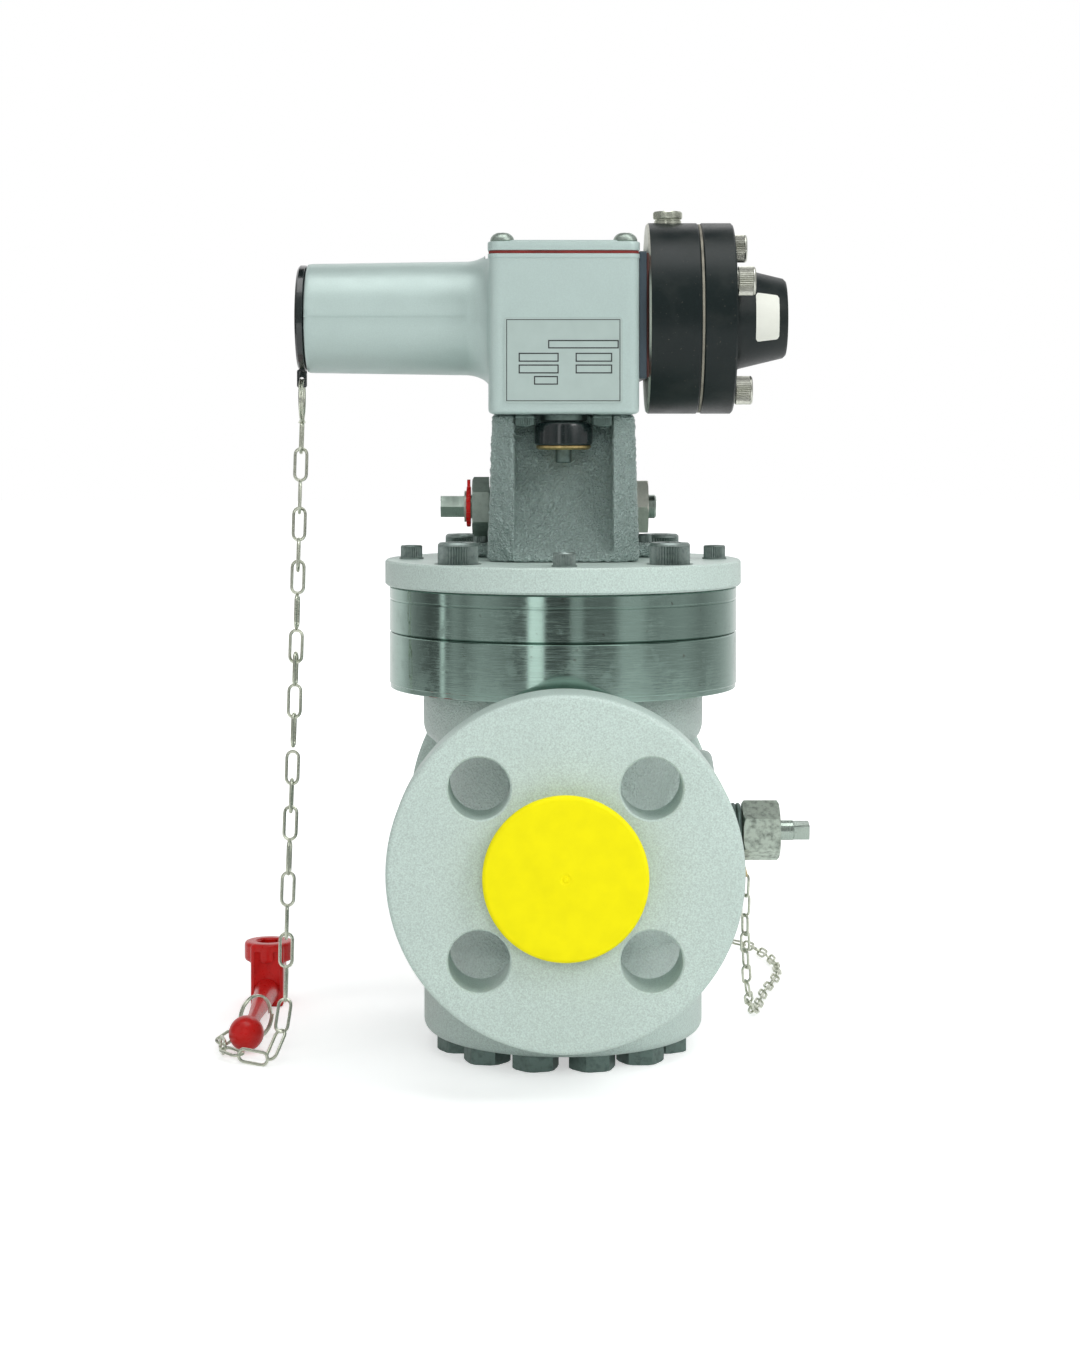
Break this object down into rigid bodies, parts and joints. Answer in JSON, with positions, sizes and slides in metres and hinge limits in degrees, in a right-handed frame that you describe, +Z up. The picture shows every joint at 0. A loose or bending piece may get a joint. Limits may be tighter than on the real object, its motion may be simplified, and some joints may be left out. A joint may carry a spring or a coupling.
{
  "type": "gas slam-shut valve",
  "caption": "Flanged slam-shut gas valve: spring-closed plug in a round body, trip unit with tube and diaphragm head on a tower, bypass on the side, capped pipe ends, chained reset lever.",
  "frame": {"origin": "middle of the object's box, cords left out, on the plane of the bottom bolts' heads", "axes": "+Z up along the plug's stem; Y along the pipe, with the flange that faces the picture's camera at -Y; +X towards the diaphragm head and the bypass"},
  "size_m": [0.2753, 0.355, 0.3838],
  "materials": {
    "body_paint": "satin, finely speckled",
    "box_paint": "satin, finely speckled",
    "rough_paint": "matt on a rough casting",
    "machined_steel": "turned",
    "zinc_steel": "zinc plated, stained",
    "dark_screw": "dark zinc",
    "nickel": "bright nickel",
    "brass": "dull",
    "alloy": "turned",
    "black_alloy": "black anodised",
    "spring_steel": "drawn wire",
    "black_plastic": "glossy",
    "red_plastic": "satin",
    "red_gasket": "matt",
    "black_rubber": "matt",
    "yellow_plastic": "satin"
  },
  "bodies": {
    "valve": {"valve_body": "body_paint", "inlet_flange": "body_paint", "outlet_flange": "body_paint", "bottom_cover": "body_paint", "upper_ring": "machined_steel", "top_cover": "box_paint", "cover_screw_1": "dark_screw", "cover_screw_2": "dark_screw", "cover_screw_3": "dark_screw", "cover_screw_4": "dark_screw", "seat_ring": "machined_steel", "stem_guide": "machined_steel", "closing_spring": "spring_steel", "tower": "rough_paint", "shaft_nut_left": "zinc_steel", "shaft_nut_right": "zinc_steel", "trip_box": "box_paint", "box_gasket": "red_gasket", "box_cover": "box_paint", "tube_cap": "black_plastic", "head_gasket": "red_gasket", "head_mount_plate": "box_paint", "head_plate_inner": "black_alloy", "head_plate_outer": "black_alloy", "head_cone": "black_alloy", "head_screw_1": "dark_screw", "head_screw_2": "dark_screw", "head_screw_3": "dark_screw", "head_screw_4": "dark_screw", "pressure_port": "nickel", "diaphragm": "black_rubber", "spring_seat": "zinc_steel", "set_spring": "spring_steel", "button_neck": "box_paint", "button_guard": "black_plastic", "button_ring": "brass", "bypass_bonnet": "zinc_steel", "bypass_nut": "zinc_steel", "chain_ring_top": "nickel", "cap_chain": "nickel", "chain_ring_floor": "nickel", "reset_lever": "red_plastic", "lever_ball": "red_plastic", "bypass_ring": "brass", "bypass_chain": "nickel"},
    "plug": {"plug": "machined_steel", "plug_seal": "black_rubber", "plug_stem": "machined_steel"},
    "shaft": {"reset_shaft": "machined_steel", "cam_lever": "machined_steel", "position_indicator": "red_plastic"},
    "sensing": {"sensing_stem": "machined_steel"},
    "adjuster": {"adjuster": "zinc_steel"},
    "spring_cup": {"spring_cup": "zinc_steel"},
    "trip_lever": {"trip_lever": "machined_steel"},
    "trip_pin": {"trip_pin": "black_plastic"},
    "bypass_stem": {"bypass_stem": "nickel"},
    "bypass_needle": {"bypass_needle": "machined_steel"},
    "inlet_cap": {"inlet_cap": "yellow_plastic"},
    "outlet_cap": {"outlet_cap": "yellow_plastic"}
  },
  "joints": [
    {"name": "shaft_turn", "type": "hinge", "parent": "valve", "child": "shaft", "pos_m": [0.00455, 0.015, 0.2472], "axis": [-1, 0, 0], "range_deg": [0, 47]},
    {"name": "plug_lift", "type": "slide", "parent": "valve", "child": "plug", "axis": [0, 0, 1], "range_m": [0, 0.01196], "stiffness_N_per_m": 3000, "springref_m": -0.01, "deforming": ["closing_spring"]},
    {"name": "sensing_slide", "type": "slide", "parent": "valve", "child": "sensing", "axis": [1, 0, 0], "range_m": [0, 0.003], "stiffness_N_per_m": 8000, "springref_m": -0.004, "deforming": ["set_spring"]},
    {"name": "adjuster_turn", "type": "hinge", "parent": "sensing", "child": "adjuster", "pos_m": [0.00455, 0, 0.3345], "axis": [1, 0, 0], "range_deg": [0, 1440]},
    {"name": "cup_slide", "type": "slide", "parent": "sensing", "child": "spring_cup", "axis": [1, 0, 0], "range_m": [0, 0.0061], "deforming": ["set_spring"]},
    {"name": "latch_swing", "type": "hinge", "parent": "valve", "child": "trip_lever", "pos_m": [0.02655, 0, 0.308], "axis": [0, 1, 0], "range_deg": [-12.5, 0], "stiffness_Nm_per_rad": 0.05, "springref_deg": 8.59},
    {"name": "trip_push", "type": "slide", "parent": "valve", "child": "trip_pin", "axis": [0, 0, 1], "range_m": [0, 0.004], "stiffness_N_per_m": 300, "springref_m": -0.003},
    {"name": "bypass_turn", "type": "hinge", "parent": "valve", "child": "bypass_stem", "pos_m": [0.00455, 0, 0.098], "axis": [1, 0, 0], "range_deg": [0, 960]},
    {"name": "needle_slide", "type": "slide", "parent": "valve", "child": "bypass_needle", "axis": [1, 0, 0], "range_m": [0, 0.00401]},
    {"name": "inlet_cap_pull", "type": "slide", "parent": "valve", "child": "inlet_cap", "axis": [0, -1, 0], "range_m": [0, 0.03]},
    {"name": "outlet_cap_pull", "type": "slide", "parent": "valve", "child": "outlet_cap", "axis": [0, 1, 0], "range_m": [0, 0.03]}
  ],
  "couplings": [
    {"joint": "shaft_turn", "follows": "plug_lift", "rad_per_m": 68.576},
    {"joint": "cup_slide", "follows": "adjuster_turn", "m_per_rad": 0.00023873},
    {"joint": "needle_slide", "follows": "bypass_turn", "m_per_rad": 0.00023873}
  ]
}
